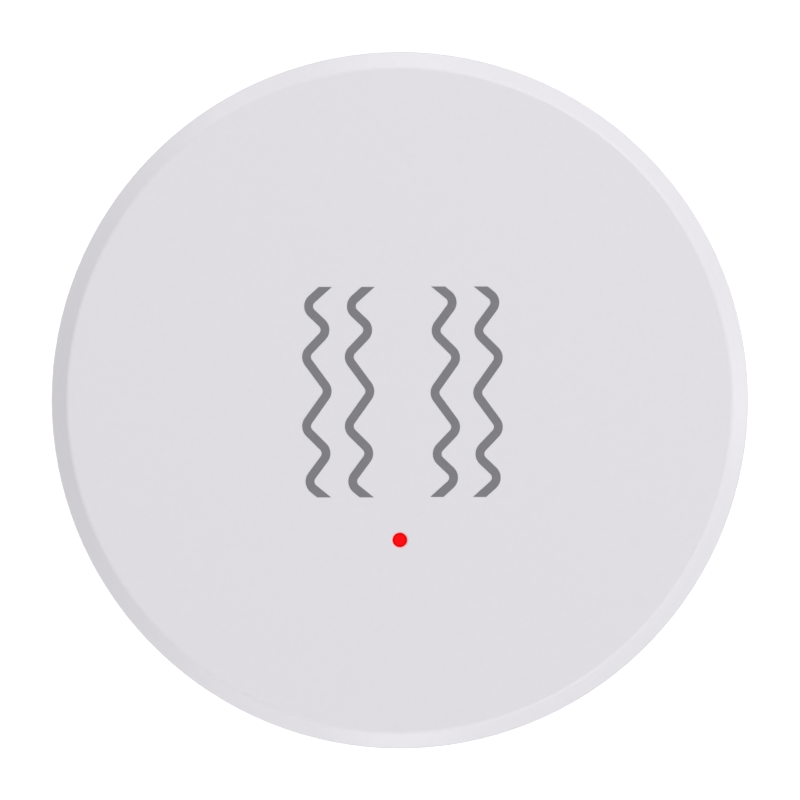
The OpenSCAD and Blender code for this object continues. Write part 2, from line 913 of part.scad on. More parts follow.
module negative_contact() {
    crown = spring_h - contact_t - nose_gap;
    arch = [for (i = [0 : arch_steps])
        let (x = spring_half * (2 * i / arch_steps - 1))
        [x, z_pcb - contact_t / 2 - crown * (1 + cos(180 * x / spring_half)) / 2]];
    foot = [foot_l, 0];
    color("#d0cbb8")
    rotate([90, 0, 90])
        translate([0, 0, -contact_w / 2])
            linear_extrude(contact_w)
                polygon(sheet([arch[0] - foot, each arch, arch[arch_steps] + foot], contact_t));
}

module cell_can() {
    color("#c2c3c5")
    turned([
        [0, z_cell],
        [cell_r, z_cell, can_r],
        [cell_r, z_cell_top - cap_h, crimp_r],
        [0, z_cell_top - cap_h]
    ]);
}

module cell_seal() {
    color("#3b3c40")
    difference() {
        post(cell_r - crimp_w + 2 * seal_t, [0, 0], z_cell_top - cap_h, z_cell_top - cap_h / 2);
        post(cell_r - crimp_w, [0, 0], z_cell_top - cap_h - over, z_cell_top);
    }
}

module cell_cap() {
    color("#cdced0")
    turned([
        [0, z_cell_top - cap_h],
        [cell_r - crimp_w, z_cell_top - cap_h],
        [cell_r - crimp_w, z_cell_top, cap_r],
        [0, z_cell_top]
    ]);
}

front_shell();
rear_shell();
battery_door();
adhesive_pad();
light_guide();
reset_key();
main_pcb();
pcb_screws();
module_board();
module_shield();
radio_chip();
crystal();
vibration_chip();
status_lamp();
switch_base();
switch_cover();
switch_stem();
chip_capacitors();
capacitor_ends();
bulk_capacitor();
bulk_leads();
positive_contact();
negative_contact();
cell_can();
cell_seal();
cell_cap();
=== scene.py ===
"""Round vibration sensor tag: its finishes, printed sign, foam pad and the board's fine detail."""

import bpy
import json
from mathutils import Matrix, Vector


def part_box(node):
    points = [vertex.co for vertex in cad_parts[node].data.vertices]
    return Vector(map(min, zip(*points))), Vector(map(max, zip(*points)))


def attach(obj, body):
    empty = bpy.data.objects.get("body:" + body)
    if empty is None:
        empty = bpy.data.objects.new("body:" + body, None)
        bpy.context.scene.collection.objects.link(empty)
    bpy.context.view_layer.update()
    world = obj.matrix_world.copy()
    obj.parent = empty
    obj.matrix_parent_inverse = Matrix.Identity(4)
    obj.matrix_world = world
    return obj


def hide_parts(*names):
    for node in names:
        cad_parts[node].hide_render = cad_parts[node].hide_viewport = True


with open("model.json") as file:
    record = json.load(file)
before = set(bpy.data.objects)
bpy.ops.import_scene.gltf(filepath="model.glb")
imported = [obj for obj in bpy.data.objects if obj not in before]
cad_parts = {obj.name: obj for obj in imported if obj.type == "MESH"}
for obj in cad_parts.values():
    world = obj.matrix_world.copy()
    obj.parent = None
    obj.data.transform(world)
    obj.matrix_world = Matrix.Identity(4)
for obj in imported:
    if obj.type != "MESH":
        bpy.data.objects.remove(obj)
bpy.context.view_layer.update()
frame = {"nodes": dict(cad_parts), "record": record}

import json
import math

import bmesh
import bpy
from mathutils import Matrix, Vector

MM = 0.001
WELD = 0.001 * MM

# Places on the case: the face, the foam pad's section, the lamp's upright axis and its window
FACE_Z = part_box("front_shell")[1].z
PAD_OUTER, _, PAD_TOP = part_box("adhesive_pad")[1]
PAD_WIDTH = 3.56 * MM
PAD_EDGE = 0.18 * MM
PAD_EDGE_STEPS = 4
PAD_SIDES = 128
LAMP_AXIS = sum(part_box("light_guide"), Vector()) / 2
TIP_RADIUS = 0.475 * MM
# Reach of the lamp's red glow, painted onto the shell round the light guide
PAINTED_GLOW_RADIUS = 0.62 * MM

# The printed sign: one zigzag stroke, its bends from top to bottom, repeated and turned round
STROKE_BENDS = [
    (-5.33, 8.1), (-6.85, 6.73), (-5.07, 5.05), (-6.88, 3.15), (-5.04, 0.65),
    (-6.88, -1.94), (-5.06, -3.74), (-6.68, -5.93), (-5.42, -6.95),
]
STROKE_WIDTH = 0.63 * MM
BEND_RADIUS = 0.68 * MM
STROKE_STEP = 3.055 * MM
SIGN_CENTRE = Vector((0.186, 0.59, 0.0)) * MM
INK_DEPTH = 0.012 * MM
PEN_OVERRUN = 1.0 * MM
BEND_STEPS = 8

# Fine detail of the circuit board: the radio module's aerial, print, solder and the cell's mark
AERIAL_LEGS = 9
AERIAL_EDGE = 0.8 * MM
AERIAL_WIDTH = 0.5 * MM
AERIAL_BEND = 0.3 * MM
COPPER_DEPTH = 0.035 * MM
PRINT_MARGIN = 0.35 * MM
PRINT_LINE = 0.15 * MM
PRINT_DEPTH = 0.02 * MM
NOTCH_FIRST = 1.5 * MM
NOTCH_STEP = 2.0 * MM
NOTCH_COUNT = 7
NOTCH_SOLDER = 0.6 * MM
SOLDER_SPREAD = 0.2 * MM
SOLDER_CLIMB = 0.45 * MM
FOOT_LENGTH = 2.4 * MM
FOOT_SOLDER = 0.9 * MM
POOL_RINGS = 4
POOL_SIDES = 16
POOL_WELD = 0.001
PLUS_WIDTH = 0.8 * MM
PLUS_ARM = 1.4 * MM
PLUS_DEPTH = 0.05 * MM

# Copper tracks under the board's lacquer, from end to end in millimetres, and the lands that
# pass through the board
PARTS_TRACKS = [
    [(-7.5, 5.1), (-8.4, 4.2), (-8.4, -0.5), (-7.6, -1.3), (-7.6, -3.0)],
    [(-7.5, 7.1), (-8.5, 7.1), (-9.6, 6.0), (-9.6, 2.2)],
    [(-7.5, 9.1), (-9.0, 9.1), (-11.4, 6.7), (-11.4, -1.8)],
    [(-7.5, 11.1), (-10.4, 11.1), (-13.2, 8.3), (-13.2, 3.0)],
    [(-9.6, 1.0), (-9.6, -2.9), (-9.0, -3.5), (-8.0, -3.5)],
    [(-11.4, -3.0), (-11.4, -3.7), (-10.6, -4.5), (-8.0, -4.5)],
    [(-6.6, -5.0), (-6.6, -6.1), (-5.1, -7.6), (-3.6, -7.6)],
    [(-7.4, -5.0), (-7.4, -16.1), (-4.2, -19.3), (-2.3, -19.3)],
    [(-3.6, -8.8), (-3.6, -9.2), (-2.8, -10.0), (-0.8, -10.0)],
    [(0.8, -10.0), (2.8, -10.0), (3.6, -9.2), (3.6, -8.8)],
    [(3.6, -7.6), (3.6, -5.5), (5.1, -4.0), (6.1, -4.0)],
    [(9.9, -4.0), (10.9, -4.0), (12.0, -5.1), (12.0, -7.4)],
    [(12.0, -8.6), (12.0, -11.5), (4.2, -19.3), (2.3, -19.3)],
    [(10.0, -11.0), (10.0, -8.4), (11.0, -7.4), (12.0, -7.4)],
    [(7.5, 5.1), (8.6, 5.1), (9.6, 4.1), (9.6, 2.2)],
    [(9.6, 1.0), (7.4, 1.0), (5.2, -1.2), (3.8, -1.2)],
    [(2.6, -1.2), (-2.6, -1.2)],
    [(-3.8, -1.2), (-5.2, -1.2), (-6.4, -2.4), (-6.4, -3.0)],
    [(7.5, 7.1), (9.4, 7.1), (12.9, 3.6), (14.0, 3.6)],
    [(7.5, 9.1), (10.0, 9.1), (12.6, 6.5), (18.6, 6.5)],
]
CELL_TRACKS = [
    [(-13.2, 3.0), (-13.2, 4.0), (-11.4, 5.8), (-2.0, 5.8)],
    [(2.0, -5.8), (6.5, -5.8), (10.0, -9.3), (10.0, -11.0)],
    [(14.0, 3.6), (15.6, 3.6), (17.2, 2.0)],
    [(18.6, 6.5), (18.6, 3.6), (17.2, 2.2)],
]
LANDS = [(-13.2, 3.0), (10.0, -11.0), (14.0, 3.6), (18.6, 6.5)]
TRACK_WIDTH = 0.3 * MM
TRACK_BEND = 0.5 * MM
LAND_RADIUS = 0.5 * MM
LAND_RISE = 0.02 * MM
LAND_SIDES = 24

# Camera: straight above the face, far off, so that the bevel shows at its true width
LENS_MM = 250.0
SENSOR_MM = 36.0
HALF_PICTURE = 28.695 * MM
RIM_Z = 13.8 * MM
AIM_X = 0.011 * MM
AIM_Y = 0.013 * MM

# Soft boxes: bearing and height in degrees, distance and size in metres, power in watts
SOFT_BOXES = {
    "key_box": (60, 35, 0.4, (0.35, 0.35), 0.58),
    "front_box": (300, 40, 0.8, (0.7, 0.7), 1.92),
    "left_box": (180, 40, 0.8, (0.5, 0.5), 0.56),
    "low_right": (0, 2, 0.8, (0.25, 0.25), 0.63),
    "low_top": (90, 2, 0.8, (0.25, 0.25), 0.55),
    "low_corner": (120, 2, 0.8, (0.25, 0.25), 0.45),
    "low_left": (240, 2, 0.8, (0.25, 0.25), 0.26),
    "low_bottom": (270, 2, 0.8, (0.25, 0.25), 0.82),
    "under_box": (190, -55, 0.8, (0.7, 0.7), 2.0),
    "under_fill": (20, -52, 0.8, (0.5, 0.5), 0.6),
}
ROOM_LIGHT = 0.52

# The floor: its own glow, how far it runs before it curves up, and how far it lies under the pad
FLOOR_GLOW = 0.7
FLOOR_REACH = 2.0
FLOOR_BEND = 0.5
FLOOR_DROP = 0.2 * MM
FLOOR_RINGS = 12
FLOOR_SIDES = 64
FLOOR_WELD = 1.0 * MM


def new_finish(name):
    """A node material with a shader, and the place on the piece that its patterns read."""
    finish = bpy.data.materials.new(name)
    finish.use_nodes = True
    tree = finish.node_tree
    tree.nodes.clear()
    output = tree.nodes.new("ShaderNodeOutputMaterial")
    shader = tree.nodes.new("ShaderNodeBsdfPrincipled")
    tree.links.new(shader.outputs["BSDF"], output.inputs["Surface"])
    place = tree.nodes.new("ShaderNodeTexCoord").outputs["Object"]
    return finish, tree, shader, place


def cloud(tree, place, size_mm, detail=2.0):
    """Soft random patches of about that size."""
    noise = tree.nodes.new("ShaderNodeTexNoise")
    noise.inputs["Scale"].default_value = 1.0 / (size_mm * MM)
    noise.inputs["Detail"].default_value = detail
    tree.links.new(place, noise.inputs["Vector"])
    return noise.outputs["Fac"]


def cells(tree, place, size_mm):
    """Distance pattern of small cells of about that size."""
    voronoi = tree.nodes.new("ShaderNodeTexVoronoi")
    voronoi.inputs["Scale"].default_value = 1.0 / (size_mm * MM)
    tree.links.new(place, voronoi.inputs["Vector"])
    return voronoi.outputs["Distance"]


def from_lamp(tree, place, reach):
    """How far a point lies from the lamp's axis, as a share of a reach."""
    flat = tree.nodes.new("ShaderNodeVectorMath")
    flat.operation = "MULTIPLY"
    flat.inputs[1].default_value = (1.0, 1.0, 0.0)
    tree.links.new(place, flat.inputs[0])
    away = tree.nodes.new("ShaderNodeVectorMath")
    away.operation = "DISTANCE"
    away.inputs[1].default_value = (LAMP_AXIS.x, LAMP_AXIS.y, 0.0)
    tree.links.new(flat.outputs["Vector"], away.inputs[0])
    share = tree.nodes.new("ShaderNodeMapRange")
    share.inputs["From Max"].default_value = reach
    tree.links.new(away.outputs["Value"], share.inputs["Value"])
    return share.outputs["Result"]


def tint(tree, shader, factor, stops, socket="Base Color"):
    """Colours a socket of the shader by a factor, through colour stops of (position, colour)."""
    ramp = tree.nodes.new("ShaderNodeValToRGB")
    band = ramp.color_ramp
    while len(band.elements) < len(stops):
        band.elements.new(0.5)
    for element, (position, colour) in zip(band.elements, stops):
        element.position = position
        element.color = (*colour, 1.0)
    tree.links.new(factor, ramp.inputs["Fac"])
    tree.links.new(ramp.outputs["Color"], shader.inputs[socket])
    return ramp.outputs["Color"]


def vary_gloss(tree, shader, factor, low, high):
    """Spreads the roughness between two values."""
    spread = tree.nodes.new("ShaderNodeMapRange")
    spread.inputs["From Min"].default_value = 0.3
    spread.inputs["From Max"].default_value = 0.7
    spread.inputs["To Min"].default_value = low
    spread.inputs["To Max"].default_value = high
    tree.links.new(factor, spread.inputs["Value"])
    tree.links.new(spread.outputs["Result"], shader.inputs["Roughness"])


def relief(tree, shader, height, depth_mm, strength):
    """Raises the surface by a pattern."""
    bump = tree.nodes.new("ShaderNodeBump")
    bump.inputs["Strength"].default_value = strength
    bump.inputs["Distance"].default_value = depth_mm * MM
    tree.links.new(height, bump.inputs["Height"])
    tree.links.new(bump.outputs["Normal"], shader.inputs["Normal"])


def shade(colour, by):
    """A colour made lighter or darker."""
    return tuple(min(1.0, channel * by) for channel in colour)


def moulded_plastic(name, colour, gloss, spark_mm=0.12, spread=0.008, painted_lamp_glow=False):
    """Plastic from a spark-textured mould: a fine even grain and hardly any change of tone."""
    finish, tree, shader, place = new_finish(name)
    tone = tint(tree, shader, cloud(tree, place, size_mm=3 * spark_mm),
                [(0.25, shade(colour, 1 - spread)), (0.75, shade(colour, 1 + spread))])
    vary_gloss(tree, shader, cloud(tree, place, size_mm=0.9), low=gloss - 0.04, high=gloss + 0.04)
    relief(tree, shader, cloud(tree, place, spark_mm, detail=3.0), depth_mm=0.012, strength=0.25)
    # Painted light: the lamp's red glow is painted into the shell's colour and emission
    if painted_lamp_glow:
        paint_lamp_glow(tree, shader, place, tone)
    return finish


def paint_lamp_glow(tree, shader, place, tone):
    """Paints the lamp's glow onto the thin plastic of the bevel round the light guide: a painted
    pink in the base colour and a painted red emission.
    """
    near = from_lamp(tree, place, PAINTED_GLOW_RADIUS)
    mix = tree.nodes.new("ShaderNodeMix")
    mix.data_type = "RGBA"
    mix.blend_type = "MULTIPLY"
    mix.inputs["Factor"].default_value = 1.0
    painted_glow_tint = tree.nodes.new("ShaderNodeValToRGB")
    # Painted pink where the lamp's glow is painted onto the shell
    stops = ((0.9, (1.0, 0.74, 0.74, 1.0)), (1.0, (1.0, 1.0, 1.0, 1.0)))
    for element, (position, colour) in zip(painted_glow_tint.color_ramp.elements, stops):
        element.position = position
        element.color = colour
    tree.links.new(near, painted_glow_tint.inputs["Fac"])
    tree.links.new(tone, mix.inputs["A"])
    tree.links.new(painted_glow_tint.outputs["Color"], mix.inputs["B"])
    tree.links.new(mix.outputs["Result"], shader.inputs["Base Color"])
    # Painted red emission: the shell glows round the light guide though it is no lamp
    tint(tree, shader, near, [(0.9, (0.4, 0.0, 0.0)), (1.0, (0.0, 0.0, 0.0))], "Emission Color")
    shader.inputs["Emission Strength"].default_value = 1.0


def foam(name, colour):
    """Closed-cell foam: small dimples in a dull surface, each dimple darkened with painted shade.
    """
    finish, tree, shader, place = new_finish(name)
    pores_and_painted_shade = cells(tree, place, size_mm=0.22)
    # Painted shade: the bottom of each dimple is coloured darker
    tint(tree, shader, pores_and_painted_shade, [(0.1, shade(colour, 0.7)), (0.6, shade(colour, 1.15))])
    vary_gloss(tree, shader, cloud(tree, place, size_mm=1.5), low=0.82, high=0.95)
    relief(tree, shader, pores_and_painted_shade, depth_mm=0.05, strength=0.6)
    return finish


def lit_guide(name):
    """Clear red plastic with a lamp behind it, darker towards its edge."""
    finish, tree, shader, place = new_finish(name)
    tint(tree, shader, cloud(tree, place, size_mm=0.3),
         [(0.3, (0.28, 0.002, 0.003)), (0.7, (0.34, 0.002, 0.003))])
    tint(tree, shader, from_lamp(tree, place, TIP_RADIUS),
         [(0.74, (0.7, 0.001, 0.002)), (0.94, (0.3, 0.001, 0.003))], "Emission Color")
    shader.inputs["Roughness"].default_value = 0.35
    shader.inputs["Specular IOR Level"].default_value = 0.04
    shader.inputs["Emission Strength"].default_value = 1.0
    return finish


def weave(tree, place, size_mm):
    """Crossing threads of a cloth, each of about that width."""
    cross = tree.nodes.new("ShaderNodeMath")
    cross.operation = "MULTIPLY"
    for direction, socket in zip("XY", cross.inputs):
        thread = tree.nodes.new("ShaderNodeTexWave")
        thread.bands_direction = direction
        thread.inputs["Scale"].default_value = math.pi / 10 / (size_mm * MM)
        thread.inputs["Distortion"].default_value = 0.5
        tree.links.new(place, thread.inputs["Vector"])
        tree.links.new(thread.outputs["Fac"], socket)
    return cross.outputs["Value"]


def solder_mask(name, colour):
    """Lacquer over a board of glass cloth, whose threads just show."""
    finish, tree, shader, place = new_finish(name)
    cloth = weave(tree, place, size_mm=0.5)
    tint(tree, shader, cloth, [(0.1, shade(colour, 0.95)), (0.9, shade(colour, 1.05))])
    vary_gloss(tree, shader, cloud(tree, place, size_mm=1.4), low=0.3, high=0.42)
    relief(tree, shader, cloth, depth_mm=0.008, strength=0.15)
    return finish


def bare_metal(name, colour, gloss, brush_mm=0.3):
    """Plated metal with fine scratches."""
    finish, tree, shader, place = new_finish(name)
    stretch = tree.nodes.new("ShaderNodeMapping")
    stretch.inputs["Scale"].default_value = (1.0, 0.08, 1.0)
    tree.links.new(place, stretch.inputs["Vector"])
    scratches = cloud(tree, stretch.outputs["Vector"], brush_mm, detail=4.0)
    tint(tree, shader, scratches, [(0.3, shade(colour, 0.92)), (0.7, shade(colour, 1.05))])
    shader.inputs["Metallic"].default_value = 1.0
    vary_gloss(tree, shader, scratches, low=gloss - 0.06, high=gloss + 0.08)
    relief(tree, shader, scratches, depth_mm=0.004, strength=0.2)
    return finish


def printed_ink(name, colour):
    """Pad-printed ink, a little uneven."""
    finish, tree, shader, place = new_finish(name)
    tint(tree, shader, cloud(tree, place, size_mm=0.5, detail=3.0),
         [(0.25, shade(colour, 0.96)), (0.75, shade(colour, 1.04))])
    vary_gloss(tree, shader, cloud(tree, place, size_mm=0.2), low=0.5, high=0.6)
    relief(tree, shader, cloud(tree, place, size_mm=0.12, detail=3.0), depth_mm=0.01, strength=0.2)
    return finish


SHELL_WHITE = (0.815, 0.8, 0.842)
SHELL_GLOSS = 0.38
FINISHES = {
    "shell": moulded_plastic("white_abs", SHELL_WHITE, SHELL_GLOSS),
    "pad": foam("foam_tape", (0.085, 0.087, 0.092)),
    "lamp_guide": lit_guide("lit_light_guide"),
    "board": solder_mask("green_mask", (0.016, 0.10, 0.05)),
    "module": solder_mask("black_mask", (0.012, 0.014, 0.02)),
    "steel": bare_metal("tinned_steel", (0.66, 0.66, 0.67), 0.34),
    "chip": moulded_plastic("moulded_black", (0.022, 0.022, 0.024), 0.55, 0.06, 0.1),
    "crystal": bare_metal("plated_lid", (0.72, 0.58, 0.32), 0.3, 0.15),
    "lamp": moulded_plastic("lamp_lens", (0.85, 0.78, 0.5), 0.25, 0.3),
    "stem": moulded_plastic("stem_ivory", (0.76, 0.72, 0.6), 0.5, 0.08),
    "ceramic": moulded_plastic("fired_brown", (0.42, 0.27, 0.14), 0.45, 0.05, 0.06),
    "bulk": moulded_plastic("moulded_amber", (0.72, 0.36, 0.05), 0.4, 0.07, 0.04),
    "contact": bare_metal("plated_spring", (0.78, 0.7, 0.5), 0.28, 0.2),
    "cell": bare_metal("plated_cell", (0.64, 0.64, 0.65), 0.3, 0.25),
    "seal": moulded_plastic("seal_black", (0.03, 0.03, 0.033), 0.6, 0.08, 0.1),
}
# The front shell carries the lamp's red glow, painted round the light guide
FRONT = moulded_plastic("white_abs_front", SHELL_WHITE, SHELL_GLOSS, painted_lamp_glow=True)
INK = printed_ink("grey_ink", (0.21, 0.206, 0.226))
BOARD_PRINT = printed_ink("white_ink", (0.72, 0.72, 0.7))
TRACK_MASK = solder_mask("track_mask", (0.03, 0.2, 0.095))
STAMPED = bare_metal("stamped_mark", (0.28, 0.28, 0.29), 0.5, 0.2)
AERIAL_GOLD = bare_metal("gold_plating", (0.83, 0.62, 0.3), 0.3, 0.1)
SOLDER_METAL = bare_metal("solder", (0.6, 0.6, 0.61), 0.38, 0.12)


def dress_solids():
    """Gives every solid of the frame the finish of its slot."""
    for piece in frame["record"]["subparts"]:
        finish = FRONT if piece["node"] == "front_shell" else FINISHES[piece["material_slot"]]
        solid = frame["nodes"][piece["node"]]
        for held in solid.material_slots:
            held.material = finish


def add_piece(name, mesh_tool, finish, body):
    """Turns a finished bmesh into a piece that rides on a body."""
    mesh = bpy.data.meshes.new(name)
    mesh_tool.to_mesh(mesh)
    mesh_tool.free()
    mesh.materials.append(finish)
    piece = bpy.data.objects.new(name, mesh)
    bpy.context.scene.collection.objects.link(piece)
    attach(piece, body)
    return piece


def corners_in(parts):
    """The corners among the parts that an operator made."""
    return [part for part in parts if isinstance(part, bmesh.types.BMVert)]


def edge_in(parts):
    """The first edge among the parts that an operator made."""
    return next(part for part in parts if isinstance(part, bmesh.types.BMEdge))


def whole(tool):
    """All that a bmesh holds, for operators that take every kind of part."""
    return [*tool.verts, *tool.edges, *tool.faces]


def pull(tool, edge, by):
    """Draws the pen's edge on by a vector and returns its new edge."""
    made = bmesh.ops.extrude_edge_only(tool, edges=[edge])["geom"]
    bmesh.ops.translate(tool, verts=corners_in(made), vec=by)
    return edge_in(made)


def pen_stroke(tool, points, width, radius, overrun=0.0):
    """Draws one flat stroke of even width through its points, with an arc at each bend."""
    heading = (points[1] - points[0]).normalized()
    across = Vector((-heading.y, heading.x, 0.0)) * width / 2
    at = points[0] - heading * overrun
    edge = tool.edges.new([tool.verts.new(at + across), tool.verts.new(at - across)])
    for before, bend, after in zip(points, points[1:], points[2:]):
        heading = (bend - before).normalized()
        onward = (after - bend).normalized()
        turn = math.atan2(heading.cross(onward).z, heading.dot(onward))
        cut = radius * math.tan(abs(turn) / 2)
        edge = pull(tool, edge, bend - heading * cut - at)
        left = Vector((-heading.y, heading.x, 0.0)) * math.copysign(radius, turn)
        swung = bmesh.ops.spin(
            tool, geom=[*edge.verts, edge], cent=bend - heading * cut + left, axis=(0, 0, 1),
            angle=turn, steps=BEND_STEPS)["geom_last"]
        edge = edge_in(swung)
        at = bend + onward * cut
        heading = onward
    pull(tool, edge, points[-1] + heading * overrun - at)


def thicken(tool, faces, depth):
    """Turns flat faces into a layer of even depth, closed all round."""
    raised = bmesh.ops.extrude_face_region(tool, geom=faces)["geom"]
    bmesh.ops.translate(tool, verts=corners_in(raised), vec=(0, 0, depth))
    bmesh.ops.recalc_face_normals(tool, faces=tool.faces)


def print_sign():
    """The vibration sign: a stroke, its neighbour, and the pair turned half round."""
    tool = bmesh.new()
    bends = [Vector((x, y, 0.0)) * MM for x, y in STROKE_BENDS]
    pen_stroke(tool, bends, STROKE_WIDTH, BEND_RADIUS, PEN_OVERRUN)
    for height, side in ((STROKE_BENDS[0][1], 1), (STROKE_BENDS[-1][1], -1)):
        bmesh.ops.bisect_plane(tool, geom=whole(tool), plane_co=(0, height * MM, 0),
                               plane_no=(0, side, 0), clear_outer=True)
    beside = Matrix.Translation((STROKE_STEP, 0, 0))
    half_turn = Matrix.Rotation(math.pi, 4, "Z")
    turned = Matrix.Translation(SIGN_CENTRE) @ half_turn @ Matrix.Translation(-SIGN_CENTRE)
    for move in (beside, turned):
        copies = bmesh.ops.duplicate(tool, geom=whole(tool))["geom"]
        bmesh.ops.transform(tool, matrix=move, verts=corners_in(copies))
    bmesh.ops.translate(tool, verts=tool.verts, vec=(0, 0, FACE_Z))
    thicken(tool, tool.faces[:], INK_DEPTH)
    add_piece("vibration_sign", tool, INK, "case")


def lay_foam_pad():
    """The foam ring: a soft-edged section swung once round the axis."""
    tool = bmesh.new()
    bmesh.ops.create_grid(tool, x_segments=1, y_segments=1, size=0.5)
    bmesh.ops.scale(tool, verts=tool.verts, vec=(PAD_WIDTH, PAD_TOP, 1))
    upright = Matrix.Rotation(math.pi / 2, 3, "X")
    bmesh.ops.rotate(tool, verts=tool.verts, cent=(0, 0, 0), matrix=upright)
    bmesh.ops.translate(tool, verts=tool.verts, vec=(PAD_OUTER - PAD_WIDTH / 2, 0, PAD_TOP / 2))
    bmesh.ops.bevel(tool, geom=tool.verts[:], offset=PAD_EDGE, segments=PAD_EDGE_STEPS, profile=0.5,
                    affect="VERTICES", material=-1)
    bmesh.ops.delete(tool, geom=tool.faces[:], context="FACES_ONLY")
    bmesh.ops.spin(tool, geom=[*tool.verts, *tool.edges], cent=(0, 0, 0), axis=(0, 0, 1),
                   angle=2 * math.pi, steps=PAD_SIDES, use_merge=True)
    bmesh.ops.remove_doubles(tool, verts=tool.verts, dist=WELD)
    bmesh.ops.recalc_face_normals(tool, faces=tool.faces)
    pad = add_piece("foam_pad", tool, FINISHES["pad"], "case")
    for face in pad.data.polygons:
        face.use_smooth = True
    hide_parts("adhesive_pad")


def lay_aerial():
    """The radio module's aerial: a copper track that winds to and fro beside the shield."""
    low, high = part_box("module_board")
    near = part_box("module_shield")[1].y + AERIAL_EDGE
    far = high.y - AERIAL_EDGE
    left = low.x + AERIAL_EDGE
    step = (high.x - low.x - 2 * AERIAL_EDGE) / (AERIAL_LEGS - 1)
    points = []
    for leg in range(AERIAL_LEGS):
        ends = [Vector((left + step * leg, y, high.z)) for y in (near, far)]
        points += ends if leg % 2 == 0 else ends[::-1]
    tool = bmesh.new()
    pen_stroke(tool, points, AERIAL_WIDTH, AERIAL_BEND)
    thicken(tool, tool.faces[:], COPPER_DEPTH)
    add_piece("aerial_track", tool, AERIAL_GOLD, "case")


def lay_tracks():
    """The board's tracks on both sides, with a round land wherever one passes through."""
    tool = bmesh.new()
    under, top = (corner.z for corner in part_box("main_pcb"))
    for level, outward, tracks in ((top, 1, PARTS_TRACKS), (under, -1, CELL_TRACKS)):
        done = set(tool.faces)
        for track in tracks:
            points = [Vector((x * MM, y * MM, level)) for x, y in track]
            pen_stroke(tool, points, TRACK_WIDTH, TRACK_BEND)
        flat_tracks = [face for face in tool.faces if face not in done]
        thicken(tool, flat_tracks, outward * COPPER_DEPTH)
        done = set(tool.faces)
        for x, y in LANDS:
            bmesh.ops.create_circle(tool, cap_ends=True, segments=LAND_SIDES, radius=LAND_RADIUS,
                                    matrix=Matrix.Translation((x * MM, y * MM, level)))
        flat_lands = [face for face in tool.faces if face not in done]
        thicken(tool, flat_lands, outward * (COPPER_DEPTH + LAND_RISE))
    add_piece("board_tracks", tool, TRACK_MASK, "case")


def print_board():
    """Printed outlines on the board round its larger parts."""
    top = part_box("main_pcb")[1].z
    tool = bmesh.new()
    for node in ("vibration_chip", "bulk_leads", "status_lamp", "switch_cover", "module_board"):
        low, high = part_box(node)
        frame_size = high - low + Vector((1, 1, 0)) * 2 * PRINT_MARGIN
        made = bmesh.ops.create_grid(tool, x_segments=1, y_segments=1, size=0.5)["verts"]
        bmesh.ops.scale(tool, verts=made, vec=(frame_size.x, frame_size.y, 1))
        bmesh.ops.translate(tool, verts=made, vec=((low.x + high.x) / 2, (low.y + high.y) / 2, top))
        middle = made[0].link_faces[0]
        bmesh.ops.inset_region(tool, faces=[middle], thickness=PRINT_LINE, use_boundary=True,
                               use_even_offset=True)
        bmesh.ops.delete(tool, geom=[middle], context="FACES_ONLY")
    thicken(tool, tool.faces[:], PRINT_DEPTH)
    add_piece("board_print", tool, BOARD_PRINT, "case")


def separate_boxes(node):
    """The box of each separate solid in a node."""
    tool = bmesh.new()
    tool.from_mesh(frame["nodes"][node].data)
    bmesh.ops.remove_doubles(tool, verts=tool.verts, dist=WELD)
    seen, boxes = set(), []
    for start in tool.verts:
        if start in seen:
            continue
        seen.add(start)
        solid = [start]
        for corner in solid:
            for edge in corner.link_edges:
                other = edge.other_vert(corner)
                if other not in seen:
                    seen.add(other)
                    solid.append(other)
        places = [corner.co for corner in solid]
        boxes.append((Vector(map(min, zip(*places))), Vector(map(max, zip(*places)))))
    tool.free()
    return boxes


def soldered_places():
    """Where each soldered joint sits on the board, and how far it reaches along x, y and z."""
    under, top = (corner.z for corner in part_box("main_pcb"))
    for node in ("capacitor_ends", "bulk_leads"):
        for low, high in separate_boxes(node):
            half = (high - low) / 2
            yield low + half, top, (half.x + SOLDER_SPREAD, half.y + SOLDER_SPREAD, SOLDER_CLIMB)
    low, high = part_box("module_board")
    for x in (low.x, high.x):
        for notch in range(NOTCH_COUNT):
            place = Vector((x, low.y + NOTCH_FIRST + NOTCH_STEP * notch))
            yield place, top, (NOTCH_SOLDER, NOTCH_SOLDER, high.z - low.z)
    for node in ("status_lamp", "switch_cover"):
        low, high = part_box(node)
        width = (high.y - low.y) / 4 + SOLDER_SPREAD
        for x in (low.x, high.x):
            place = Vector((x, (low.y + high.y) / 2))
            yield place, top, (2 * SOLDER_SPREAD, width, SOLDER_CLIMB)
    low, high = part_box("positive_contact")
    feet = [Vector((high.x - FOOT_LENGTH / 2, 0.0))]
    feet += [Vector((0.0, corner.y - math.copysign(FOOT_LENGTH / 2, corner.y)))
             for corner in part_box("negative_contact")]
    for foot in feet:
        yield foot, under, (FOOT_SOLDER, FOOT_SOLDER, -SOLDER_CLIMB)


